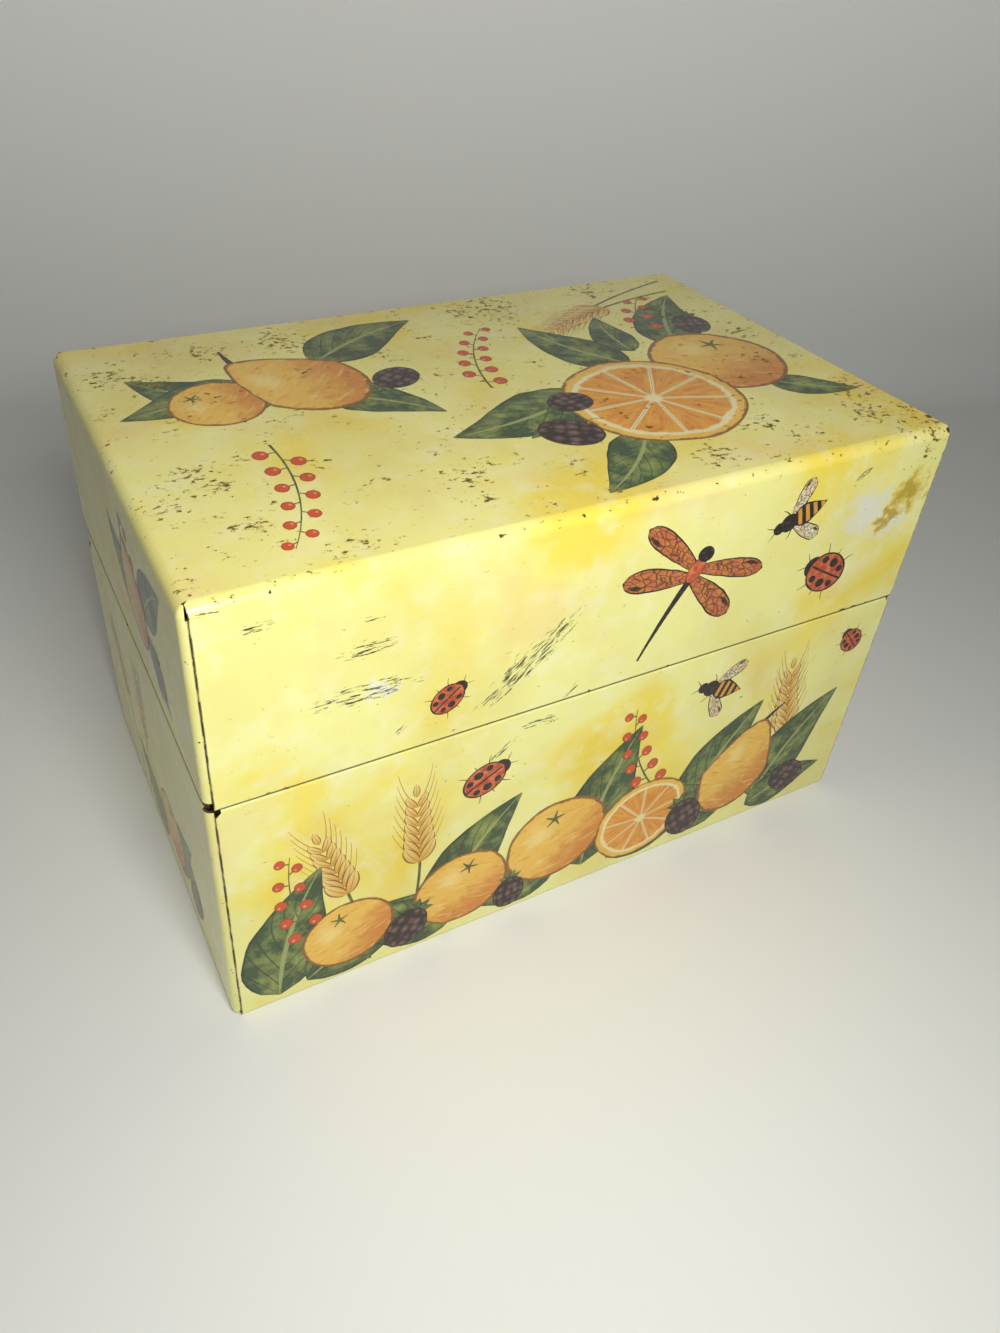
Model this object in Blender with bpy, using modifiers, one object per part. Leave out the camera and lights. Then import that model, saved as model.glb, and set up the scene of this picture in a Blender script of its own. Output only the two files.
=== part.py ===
# Recipe card box: a hinged tinplate box for index cards, folded from two printed
# blanks, with an inner collar that guides the lid and one wire through the rolled hinge.
# Metres, +Z up. The front faces -Y and the box stands on the plane z = 0.

from math import pi, radians, tan

import bmesh
import bpy
from mathutils import Vector

# Overall box
BOX_WIDTH = 0.1365
BOX_DEPTH = 0.0857
BOX_HEIGHT = 0.0889
RIM_HEIGHT = 0.0527          # floor to the body's rim, three fifths of the height

# Tinplate and its folds
SHEET = 0.0004
PLATE_FOLD = 0.0022          # outside radius round the base and the top
CORNER_FOLD = 0.0013         # outside radius of the upright corners
PLATE_FOLD_STEPS = 8
CORNER_FOLD_STEPS = 6
CROWN_SHARE = 0.8            # of the corner's radius, drawn in over the fold of the plate

# Lapped corners: each side wall ends in flanges that lie behind the front and the back
SEAM_INSET = 0.0013          # the front panel's free edge, from the side of the box
LAP_GAP = 0.0001
FLANGE_LENGTH = 0.009

# Hem on the body's front and side rims
HEM_DEPTH = 0.0035
HEM_CREASE = 0.00015         # half the space inside the fold
HEM_STEPS = 8
HEM_END_TAPER = 0.0009       # the rounded look of the panel's top corners
HEM_CLEARANCE = 0.0005       # hem to the tops of the flanges below it

# Lid
LID_REST_GAP = 0.0003        # lid edge above the rim that it rests on
LID_SIDE_LIFT = 0.0011       # the lid's sides are cut this much shorter than its front
LID_OPENING = radians(110)

# Rolled hinge at the back, flush with the back panel
WIRE_RADIUS = 0.0008
ROLL_CLEARANCE = 0.0002
ROLL_TURN = radians(288)
ROLL_STEPS = 24
HINGE_DROP = 0.0007          # hinge axis below the rim
TAB_WIDTH = 0.021
TAB_PLACE_SHARE = 0.52       # middle of a lid tab, of half the box's width
TAB_SIDE_GAP = 0.0004
SWING_GAP = 0.0003           # left between lid and body when the lid is fully open
NOTCH_RISE = 0.0034          # side wall cut away above and below the axis
NOTCH_DEPTH = 0.0038         # and forward of the back panel
WIRE_END_INSET = 0.0003      # wire end inside the side of the box
WIRE_SIDES = 24
WIRE_END_ROUND = 0.00025

# Inner collar
COLLAR_GAP = 0.0003          # collar to the hem that it is welded to
COLLAR_RISE = 0.0055         # above the rim
COLLAR_SINK = 0.0085         # below the rim
COLLAR_FOLD = 0.0016
COLLAR_ROLL_GAP = 0.0010     # collar ends to the hinge roll
COLLAR_END_ROUND = 0.0045    # radius of the upper rear corners

CREASE_ANGLE = radians(35)   # edges steeper than this are shaded as edges
SAME_PLACE = BOX_WIDTH * 1e-5

# Places worked out from the sizes above
half_width = BOX_WIDTH / 2
half_depth = BOX_DEPTH / 2
lap_depth = SHEET + LAP_GAP                  # flange skin behind the panel's skin
corner_start = lap_depth + CORNER_FOLD       # where the corner fold leaves the side wall
crown_edge = half_width - CORNER_FOLD * CROWN_SHARE   # where the corner's crown ends
hem_radius = SHEET + HEM_CREASE
hem_thickness = 2 * hem_radius
roll_radius = WIRE_RADIUS + ROLL_CLEARANCE + SHEET
axis_y = half_depth - roll_radius
axis_z = RIM_HEIGHT - HINGE_DROP
swing_relief = roll_radius * tan(LID_OPENING / 2) + SWING_GAP
tab_middle = TAB_PLACE_SHARE * half_width
panel_edge = half_width - SEAM_INSET


def is_at(value, place):
    return abs(value - place) < SAME_PLACE


def rim_edges(sheet, test):
    """Free edges of the open sheet with both ends where the test holds."""
    return [e for e in sheet.edges if e.is_boundary and all(test(v.co) for v in e.verts)]


def faces_where(sheet, test):
    return [f for f in sheet.faces if test(f.calc_center_median())]


def with_outlines(faces):
    """Some faces together with their edges and corners."""
    edges = dict.fromkeys(e for f in faces for e in f.edges)
    corners = dict.fromkeys(v for f in faces for v in f.verts)
    return [*faces, *edges, *corners]


def cut_line(sheet, faces, point, normal):
    """A straight line across some faces, which a later step trims to."""
    bmesh.ops.bisect_plane(sheet, geom=with_outlines(faces), plane_co=point, plane_no=normal,
                           dist=SAME_PLACE)


def remove_faces(sheet, test):
    bmesh.ops.delete(sheet, geom=faces_where(sheet, test), context="FACES")


def fold(sheet, edges, centre, axis, angle, steps):
    """Carries free edges round an axis and gives back the edges at the end."""
    ends = dict.fromkeys(v for e in edges for v in e.verts)
    made = bmesh.ops.spin(sheet, geom=[*edges, *ends], cent=centre, axis=axis, angle=angle,
                          steps=steps, use_merge=False, use_duplicate=False)
    return [part for part in made["geom_last"] if isinstance(part, bmesh.types.BMEdge)]


def extend(sheet, edges, shift):
    """Draws free edges out in a straight line and gives back the edges at the end."""
    made = bmesh.ops.extrude_edge_only(sheet, edges=edges)["geom"]
    ends = [part for part in made if isinstance(part, bmesh.types.BMVert)]
    bmesh.ops.translate(sheet, verts=ends, vec=shift)
    moved = set(ends)
    lines = [part for part in made if isinstance(part, bmesh.types.BMEdge)]
    return [line for line in lines if set(line.verts) <= moved]


def tray(wall_height):
    """Outer skin of a plate with four walls, its upright corners still sharp."""
    sheet = bmesh.new()
    bmesh.ops.create_cube(sheet, size=1)
    bmesh.ops.scale(sheet, verts=sheet.verts, vec=(BOX_WIDTH, BOX_DEPTH, wall_height))
    bmesh.ops.translate(sheet, verts=sheet.verts, vec=(0, 0, wall_height / 2))
    open_face = max(sheet.faces, key=lambda f: f.calc_center_median().z)
    bmesh.ops.delete(sheet, geom=[open_face], context="FACES_ONLY")
    plate_edges = [e for e in sheet.edges if all(is_at(v.co.z, 0) for v in e.verts)]
    bmesh.ops.bevel(sheet, geom=plate_edges, offset=PLATE_FOLD, offset_type="OFFSET",
                    segments=PLATE_FOLD_STEPS, profile=0.5, affect="EDGES", material=-1)
    return sheet


def open_corners(sheet):
    """Cuts the upright corners away, up to the panels' free edges and the corner folds."""
    for sign in (-1, 1):
        cut_line(sheet, sheet.faces[:], (sign * panel_edge, 0, 0), (1, 0, 0))
        cut_line(sheet, sheet.faces[:], (0, sign * (half_depth - corner_start), 0), (0, 1, 0))

    def in_corner(middle):
        from_side = half_width - abs(middle.x)
        from_front = half_depth - abs(middle.y)
        if from_front < from_side:
            return from_side < SEAM_INSET
        return from_front < corner_start

    remove_faces(sheet, in_corner)


def trim_walls(sheet, front_top, side_top, back_top):
    """Cuts each wall down to its own height."""
    walls = [
        (front_top, lambda p: is_at(p.y, -half_depth)),
        (back_top, lambda p: is_at(p.y, half_depth)),
        (side_top, lambda p: is_at(abs(p.x), half_width)),
    ]
    for top, on_wall in walls:
        cut_line(sheet, faces_where(sheet, on_wall), (0, 0, top), (0, 0, 1))
        remove_faces(sheet, lambda p: on_wall(p) and p.z > top)


def notch_sides(sheet, axis_level):
    """Clears the hinge at the back end of both side walls."""
    notch_front = half_depth - NOTCH_DEPTH
    notch_base = axis_level - NOTCH_RISE
    sides = faces_where(sheet, lambda p: is_at(abs(p.x), half_width))
    cut_line(sheet, sides, (0, notch_front, 0), (0, 1, 0))
    sides = faces_where(sheet, lambda p: is_at(abs(p.x), half_width))
    cut_line(sheet, sides, (0, 0, notch_base), (0, 0, 1))
    remove_faces(sheet, lambda p: is_at(abs(p.x), half_width)
                 and p.y > notch_front and p.z > notch_base)


def lap_corners(sheet, flange_top):
    """Folds the side walls round the upright corners, and on behind the panels.

    The fold of the plate is drawn round with them, one step less, clear of the panel.
    """
    sides = faces_where(sheet, lambda p: is_at(abs(p.x), half_width))
    cut_line(sheet, sides, (0, 0, flange_top), (0, 0, 1))
    for side in (-1, 1):
        for end in (-1, 1):
            line = rim_edges(sheet, lambda p: p.x * side > crown_edge
                             and is_at(p.y, end * (half_depth - corner_start)))
            centre = (side * (half_width - CORNER_FOLD), end * (half_depth - corner_start), 0)
            step = side * end * pi / 2 / CORNER_FOLD_STEPS
            turned = CORNER_FOLD_STEPS - 1
            line = fold(sheet, line, centre, (0, 0, 1), step * turned, turned)
            line = [e for e in line if all(v.co.z > PLATE_FOLD - SAME_PLACE for v in e.verts)]
            line = fold(sheet, line, centre, (0, 0, 1), step, 1)
            low = [e for e in line if all(v.co.z < flange_top + SAME_PLACE for v in e.verts)]
            extend(sheet, low, (-side * FLANGE_LENGTH, 0, 0))


def roll_hinge(sheet, axis_level, knuckles):
    """Leaves the back wall's knuckles standing and rolls them in round the hinge axis."""
    base = axis_level - swing_relief

    def on_back(p):
        return is_at(p.y, half_depth)

    cut_line(sheet, faces_where(sheet, on_back), (0, 0, base), (0, 0, 1))
    for place in sorted({end for knuckle in knuckles for end in knuckle}):
        cut_line(sheet, faces_where(sheet, on_back), (place, 0, 0), (1, 0, 0))
    remove_faces(sheet, lambda p: on_back(p) and p.z > base
                 and not any(low < p.x < high for low, high in knuckles))
    top = rim_edges(sheet, lambda p: on_back(p) and is_at(p.z, axis_level))
    fold(sheet, top, (0, axis_y, axis_level), (1, 0, 0), ROLL_TURN, ROLL_STEPS)


def hem_rim(sheet, rim_level):
    """Folds the front and side rims in and down."""
    taper_low = rim_level - HEM_END_TAPER
    for side in (-1, 1):
        front = faces_where(sheet, lambda p: is_at(p.y, -half_depth) and p.z > PLATE_FOLD)
        bmesh.ops.bisect_plane(sheet, geom=with_outlines(front), dist=SAME_PLACE, clear_outer=True,
                               plane_co=(side * panel_edge, 0, taper_low), plane_no=(side, 0, 1))
    front = rim_edges(sheet, lambda p: is_at(p.y, -half_depth) and is_at(p.z, rim_level))
    centre = (0, hem_radius - half_depth, rim_level)
    front = fold(sheet, front, centre, (1, 0, 0), -pi, HEM_STEPS)
    extend(sheet, front, (0, 0, -HEM_DEPTH))
    for side in (-1, 1):
        line = rim_edges(sheet, lambda p: is_at(p.x, side * half_width) and is_at(p.z, rim_level))
        centre = (side * (half_width - hem_radius), 0, rim_level)
        line = fold(sheet, line, centre, (0, 1, 0), -side * pi, HEM_STEPS)
        extend(sheet, line, (0, 0, -HEM_DEPTH))


def face_outwards(sheet, plate_normal):
    """Turns the skin's faces out, so that the sheet's thickness goes inwards."""
    bmesh.ops.recalc_face_normals(sheet, faces=sheet.faces)
    plate = max(sheet.faces, key=lambda f: f.calc_center_median().dot(plate_normal))
    if plate.normal.dot(plate_normal) < 0:
        bmesh.ops.reverse_faces(sheet, faces=sheet.faces)


def make_material(name, colour, metallic, roughness):
    material = bpy.data.materials.new(name)
    material.use_nodes = True
    shader = material.node_tree.nodes["Principled BSDF"]
    shader.inputs["Base Color"].default_value = (*colour, 1)
    shader.inputs["Metallic"].default_value = metallic
    shader.inputs["Roughness"].default_value = roughness
    return material


def add_piece(name, sheet, material, origin=(0, 0, 0)):
    """Makes a named object of a mesh, with its own origin."""
    bmesh.ops.translate(sheet, verts=sheet.verts, vec=-Vector(origin))
    mesh = bpy.data.meshes.new(name)
    sheet.to_mesh(mesh)
    sheet.free()
    mesh.shade_smooth()
    mesh.set_sharp_from_angle(angle=CREASE_ANGLE)
    mesh.materials.append(material)
    piece = bpy.data.objects.new(name, mesh)
    piece.location = origin
    collection.objects.link(piece)
    return piece


def give_thickness(piece):
    wall = piece.modifiers.new("sheet", "SOLIDIFY")
    wall.thickness = SHEET
    wall.offset = -1
    wall.use_even_offset = True


def make_body():
    rim_level = RIM_HEIGHT - hem_radius
    slot = TAB_WIDTH / 2 + TAB_SIDE_GAP
    knuckles = [(-panel_edge, -tab_middle - slot), (-tab_middle + slot, tab_middle - slot),
                (tab_middle + slot, panel_edge)]
    sheet = tray(max(rim_level, axis_z))
    open_corners(sheet)
    trim_walls(sheet, rim_level, rim_level, axis_z)
    notch_sides(sheet, axis_z)
    lap_corners(sheet, rim_level - HEM_DEPTH - HEM_CLEARANCE)
    roll_hinge(sheet, axis_z, knuckles)
    hem_rim(sheet, rim_level)
    face_outwards(sheet, Vector((0, 0, -1)))
    printed = make_material("printed_tin_body", (0.86, 0.74, 0.30), 0.0, 0.32)
    give_thickness(add_piece("body_shell", sheet, printed))


def make_lid():
    """The lid is folded like the body, plate down, and then stood on its head."""
    front_top = BOX_HEIGHT - RIM_HEIGHT - LID_REST_GAP
    side_top = front_top - LID_SIDE_LIFT
    axis_level = BOX_HEIGHT - axis_z
    knuckles = [(place - TAB_WIDTH / 2, place + TAB_WIDTH / 2) for place in (-tab_middle, tab_middle)]
    sheet = tray(max(front_top, axis_level))
    open_corners(sheet)
    trim_walls(sheet, front_top, side_top, axis_level)
    notch_sides(sheet, axis_level)
    lap_corners(sheet, side_top)
    roll_hinge(sheet, axis_level, knuckles)
    bmesh.ops.scale(sheet, verts=sheet.verts, vec=(1, 1, -1))
    bmesh.ops.translate(sheet, verts=sheet.verts, vec=(0, 0, BOX_HEIGHT))
    face_outwards(sheet, Vector((0, 0, 1)))
    printed = make_material("printed_tin_lid", (0.90, 0.80, 0.36), 0.0, 0.32)
    give_thickness(add_piece("lid_shell", sheet, printed, (0, axis_y, axis_z)))


def make_collar():
    """A strip bent round three sides, standing up inside the lid."""
    inset = hem_thickness + COLLAR_GAP
    side_x = half_width - inset
    front_y = inset - half_depth
    back_y = axis_y - roll_radius - COLLAR_ROLL_GAP
    low = RIM_HEIGHT - COLLAR_SINK
    high = RIM_HEIGHT + COLLAR_RISE
    side_length = back_y - front_y - COLLAR_FOLD
    strip = bmesh.new()
    ends = [strip.verts.new((-side_x, back_y, level)) for level in (low, high)]
    line = [strip.edges.new(ends)]
    line = extend(strip, line, (0, -side_length, 0))
    line = fold(strip, line, (COLLAR_FOLD - side_x, front_y + COLLAR_FOLD, 0), (0, 0, 1), pi / 2,
                CORNER_FOLD_STEPS)
    line = extend(strip, line, (2 * (side_x - COLLAR_FOLD), 0, 0))
    line = fold(strip, line, (side_x - COLLAR_FOLD, front_y + COLLAR_FOLD, 0), (0, 0, 1), pi / 2,
                CORNER_FOLD_STEPS)
    extend(strip, line, (0, side_length, 0))
    rear_corners = [v for v in strip.verts if is_at(v.co.y, back_y) and is_at(v.co.z, high)]
    bmesh.ops.bevel(strip, geom=rear_corners, offset=COLLAR_END_ROUND, offset_type="OFFSET",
                    segments=CORNER_FOLD_STEPS, profile=0.5, affect="VERTICES", material=-1)
    face_outwards(strip, Vector((0, -1, 0)))
    tinplate = make_material("bare_tinplate", (0.62, 0.60, 0.55), 1.0, 0.38)
    give_thickness(add_piece("inner_collar", strip, tinplate))


def make_wire():
    """The hinge wire, through the body's rolled edge and the lid's tabs."""
    wire = bmesh.new()
    length = BOX_WIDTH - 2 * WIRE_END_INSET
    bmesh.ops.create_cone(wire, cap_ends=True, segments=WIRE_SIDES, radius1=WIRE_RADIUS,
                          radius2=WIRE_RADIUS, depth=length)
    rims = [e for e in wire.edges if is_at(e.verts[0].co.z, e.verts[1].co.z)]
    bmesh.ops.bevel(wire, geom=rims, offset=WIRE_END_ROUND, offset_type="OFFSET", segments=2,
                    profile=0.5, affect="EDGES", material=-1)
    steel = make_material("steel_wire", (0.55, 0.54, 0.52), 1.0, 0.3)
    piece = add_piece("hinge_wire", wire, steel)
    piece.rotation_euler = (0, pi / 2, 0)
    piece.location = (0, axis_y, axis_z)


for leftover in list(bpy.data.objects):
    bpy.data.objects.remove(leftover)
collection = bpy.data.collections.new("recipe_card_box")
bpy.context.scene.collection.children.link(collection)

make_body()
make_lid()
make_collar()
make_wire()
print("recipe card box:", len(collection.objects), "pieces")
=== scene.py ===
# Looks of the recipe card box: an old kitchen tin with a painted fruit and wheat print on a
# mottled yellow ground, bare tinplate inside, and the rust, scuffs and chips of long use.
# The print is drawn in millimetres on each panel, wear is placed in millimetres on the box.

from math import floor, pi, radians, sin, sqrt

import bmesh
import bpy
from mathutils import Matrix, Vector, noise


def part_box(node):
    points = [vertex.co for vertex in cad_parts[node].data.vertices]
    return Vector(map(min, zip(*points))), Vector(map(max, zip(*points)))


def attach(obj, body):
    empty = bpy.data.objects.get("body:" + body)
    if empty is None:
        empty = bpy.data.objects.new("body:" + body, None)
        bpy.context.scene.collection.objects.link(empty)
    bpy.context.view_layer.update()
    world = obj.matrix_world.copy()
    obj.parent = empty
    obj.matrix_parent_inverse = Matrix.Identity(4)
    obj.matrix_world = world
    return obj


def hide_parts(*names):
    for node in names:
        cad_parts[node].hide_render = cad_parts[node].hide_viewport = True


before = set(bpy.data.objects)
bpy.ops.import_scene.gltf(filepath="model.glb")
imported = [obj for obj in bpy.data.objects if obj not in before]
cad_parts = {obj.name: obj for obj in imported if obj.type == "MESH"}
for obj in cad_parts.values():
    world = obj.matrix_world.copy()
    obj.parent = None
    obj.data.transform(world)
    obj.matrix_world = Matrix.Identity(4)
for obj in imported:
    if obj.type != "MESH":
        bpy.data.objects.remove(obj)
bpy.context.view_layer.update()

mm = 0.001
halfWidth, halfDepth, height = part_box("lid_shell")[1] / mm


# Heights in mm at which a sheet starts and ends in front, clear of the hinge's knuckles behind
def frontHeights(node):
    heights = [vert.co.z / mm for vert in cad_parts[node].data.vertices if vert.co.y < 0]
    return min(heights), max(heights)


rimTop = frontHeights("body_shell")[1]
lidEdge = frontHeights("lid_shell")[0]


# sRGB hex to the linear colour that a shader takes
def linear(hexColour):
    shares = [int(hexColour[i:i + 2], 16) / 255 for i in (1, 3, 5)]
    return (*(c / 12.92 if c <= 0.04045 else ((c + 0.055) / 1.055) ** 2.4 for c in shares), 1)


# Adds a node. An input is a value, or the output that feeds it.
def addNode(tree, kind, inputs=None, out=0, **settings):
    node = tree.nodes.new("ShaderNode" + kind)
    for name, value in settings.items():
        setattr(node, name, value)
    for key, value in (inputs or {}).items():
        if isinstance(value, bpy.types.NodeSocket):
            tree.links.new(value, node.inputs[key])
        else:
            node.inputs[key].default_value = value
    return node.outputs[out]


# Lays one colour over another: not at all where the value is at its start, and as much as the
# most where it is at its end
def layOver(tree, under, over, value, start=0.0, end=1.0, most=1.0, **settings):
    share = addNode(tree, "MapRange", {0: value, 1: start, 2: end, 3: 0.0, 4: most}, **settings)
    return addNode(tree, "Mix", {0: share, 6: under, 7: over}, out=2, data_type="RGBA")


# The same in patches of a noise, between these ends of it
def washOver(tree, under, over, scale, detail, *ends):
    wash = addNode(tree, "TexNoise", {"Vector": pointInMm(tree), "Scale": scale, "Detail": detail})
    return layOver(tree, under, over, wash, *ends)


# The same in a round spot on a mark's own map, between these distances from its middle
def spotOver(tree, under, over, brush, middle, *ends):
    away = addNode(tree, "VectorMath", {0: brush, 1: (*middle, 0)}, out="Value", operation="DISTANCE")
    return layOver(tree, under, over, away, *ends)


# The greatest of several values
def greatest(tree, values):
    most = values[0]
    for value in values[1:]:
        most = addNode(tree, "Math", {0: most, 1: value}, operation="MAXIMUM")
    return most


# The point on the object in millimetres, so that a noise scale is 1 / size in mm
def pointInMm(tree):
    place = addNode(tree, "TexCoord", out="Object")
    return addNode(tree, "VectorMath", {0: place, "Scale": 1 / mm}, operation="SCALE")


# Camera, matched to the photograph's corners
camera = {
    "turn": -29.67,           # degrees from the front, towards the box's left
    "height": 36.95,
    "roll": 3.74,
    "distance": 0.2087,
    "aim": (-0.0040, 0, 0.0387),
    "focalPixels": 1019.1,
    "centrePixels": (462.2, 619.0),
    "imagePixels": (1000, 1333),
    "sensor": 36,             # mm along the picture's height
}


def placeCamera(settings):
    wide, tall = settings["imagePixels"]
    data = bpy.data.cameras.new("photoCamera")
    data.sensor_width = settings["sensor"]
    data.lens = settings["sensor"] * settings["focalPixels"] / tall
    data.shift_x = (wide / 2 - settings["centrePixels"][0]) / tall
    data.shift_y = (settings["centrePixels"][1] - tall / 2) / tall
    data.clip_start = 0.01
    view = Matrix.Rotation(radians(settings["turn"]), 3, "Z")
    view = view @ Matrix.Rotation(radians(90 - settings["height"]), 3, "X")
    back = view @ Vector((0, 0, 1))
    view = view @ Matrix.Rotation(radians(settings["roll"]), 3, "Z")
    spot = Vector(settings["aim"]) + back * settings["distance"]
    piece = bpy.data.objects.new("photoCamera", data)
    piece.matrix_world = Matrix.Translation(spot) @ view.to_4x4()
    bpy.context.collection.objects.link(piece)
    bpy.context.scene.camera = piece


placeCamera(camera)
print("camera placed")


# Studio: one soft lamp beside the camera and an even pale surround, in metres and degrees
studio = {
    # place, width and watts
    "lamp": ((-0.066, -0.175, 0.205), 0.07, 0.485),
    "aim": (0, 0, 0.045),
    "sky": "#f4f5f7",
    "surround": 0.095,        # strength of the even light
    "background": 0.5,        # strength that the camera and the reflections see
    "wallGlow": 0.15,         # added for them to the upper wall, from none to all in this rise
    "glowRise": (0.02, 0.13),
    "glow": "#f4f3ee",
    "paper": "#ebebe6",
    "reach": 2,               # of the floor, to each side
    "wallPlace": 0.176,
    "wallRise": 1.5,
    "wallTurn": -21,
    "coveRadius": 0.02,
    "coveSteps": 24,
}


# 1 for the rays in which the background is seen, straight or in a reflection
def seenDirectly(tree):
    rays = addNode(tree, "LightPath").node.outputs
    return greatest(tree, [rays["Is Camera Ray"], rays["Is Glossy Ray"], rays["Is Transmission Ray"]])


def lightStudio(settings):
    place, width, watts = settings["lamp"]
    data = bpy.data.lights.new("softbox", "AREA")
    data.size = width
    data.energy = watts
    lamp = bpy.data.objects.new("softbox", data)
    away = Vector(place) - Vector(settings["aim"])
    lamp.matrix_world = Matrix.Translation(place) @ away.to_track_quat("Z", "Y").to_matrix().to_4x4()
    bpy.context.collection.objects.link(lamp)
    world = bpy.data.worlds.new("studioSurround")
    world.use_nodes = True
    tree = world.node_tree
    tree.nodes["Background"].inputs["Color"].default_value = linear(settings["sky"])
    strength = addNode(tree, "MapRange", {0: seenDirectly(tree), 3: settings["surround"],
                                          4: settings["background"]})
    tree.links.new(strength, tree.nodes["Background"].inputs["Strength"])
    bpy.context.scene.world = world


# Draws edges of a sheet out along a vector, and gives all that this makes
def drawOut(sheet, edges, away):
    made = bmesh.ops.extrude_edge_only(sheet, edges=edges)["geom"]
    verts = [part for part in made if isinstance(part, bmesh.types.BMVert)]
    bmesh.ops.translate(sheet, verts=verts, vec=away)
    return made


# Matt pale paper that is clear from behind, with a painted glow on its upper wall that the camera and
# reflections see
def studioPaper(settings):
    paper = bpy.data.materials.new("mattStudioPaper")
    paper.use_nodes = True
    tree = paper.node_tree
    shader = tree.nodes["Principled BSDF"]
    shader.inputs["Base Color"].default_value = linear(settings["paper"])
    shader.inputs["Roughness"].default_value = 0.95
    shader.inputs["Emission Color"].default_value = linear(settings["glow"])
    axes = addNode(tree, "SeparateXYZ", {0: addNode(tree, "TexCoord", out="Object")}).node.outputs
    low, high = settings["glowRise"]
    glow = addNode(tree, "MapRange", {0: axes["Z"], 1: low, 2: high, 3: 0.0, 4: settings["wallGlow"]})
    glow = addNode(tree, "Math", {0: glow, 1: seenDirectly(tree)}, operation="MULTIPLY")
    tree.links.new(glow, shader.inputs["Emission Strength"])
    behind = addNode(tree, "NewGeometry", out="Backfacing")
    clear = addNode(tree, "BsdfTransparent")
    surface = addNode(tree, "MixShader", {0: behind, 1: shader.outputs[0], 2: clear})
    tree.links.new(surface, tree.nodes["Material Output"].inputs["Surface"])
    return paper


# Floor and wall in one sheet with a round cove, facing the box, so that the wall hides nothing
# when the box is looked at from the back, and more floor behind it
def layFloor(settings):
    reach, wall, radius = settings["reach"], settings["wallPlace"], settings["coveRadius"]
    sheet = bmesh.new()
    front = sheet.edges.new([sheet.verts.new((x, -reach, 0)) for x in (-reach, reach)])
    made = drawOut(sheet, [front], (0, reach + wall, 0))
    edges = [part for part in made if isinstance(part, bmesh.types.BMEdge)]
    foot = [edge for edge in edges if all(vert.co.y > 0 for vert in edge.verts)]
    made = bmesh.ops.spin(sheet, geom=foot + [vert for edge in foot for vert in edge.verts], axis=(1, 0, 0),
                          cent=(0, wall, radius), angle=radians(90), steps=settings["coveSteps"])["geom_last"]
    head = [part for part in made if isinstance(part, bmesh.types.BMEdge)]
    drawOut(sheet, head, (0, 0, settings["wallRise"]))
    bmesh.ops.recalc_face_normals(sheet, faces=sheet.faces)
    if min(sheet.faces, key=lambda face: face.calc_center_median().y).normal.z < 0:
        bmesh.ops.reverse_faces(sheet, faces=sheet.faces)
    foot = sheet.edges.new([sheet.verts.new((x, wall, 0)) for x in (-reach, reach)])
    made = drawOut(sheet, [foot], (0, reach, 0))
    sheet.normal_update()
    for part in made:
        if isinstance(part, bmesh.types.BMFace) and part.normal.z < 0:
            part.normal_flip()
    mesh = bpy.data.meshes.new("studioFloor")
    sheet.to_mesh(mesh)
    sheet.free()
    mesh.shade_smooth()
    mesh.materials.append(studioPaper(settings))
    backdrop = bpy.data.objects.new("studioFloor", mesh)
    backdrop.rotation_euler.z = radians(settings["wallTurn"])
    bpy.context.collection.objects.link(backdrop)


lightStudio(studio)
layFloor(studio)
bpy.context.scene.view_settings.view_transform = "Standard"
print("studio lit")


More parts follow.
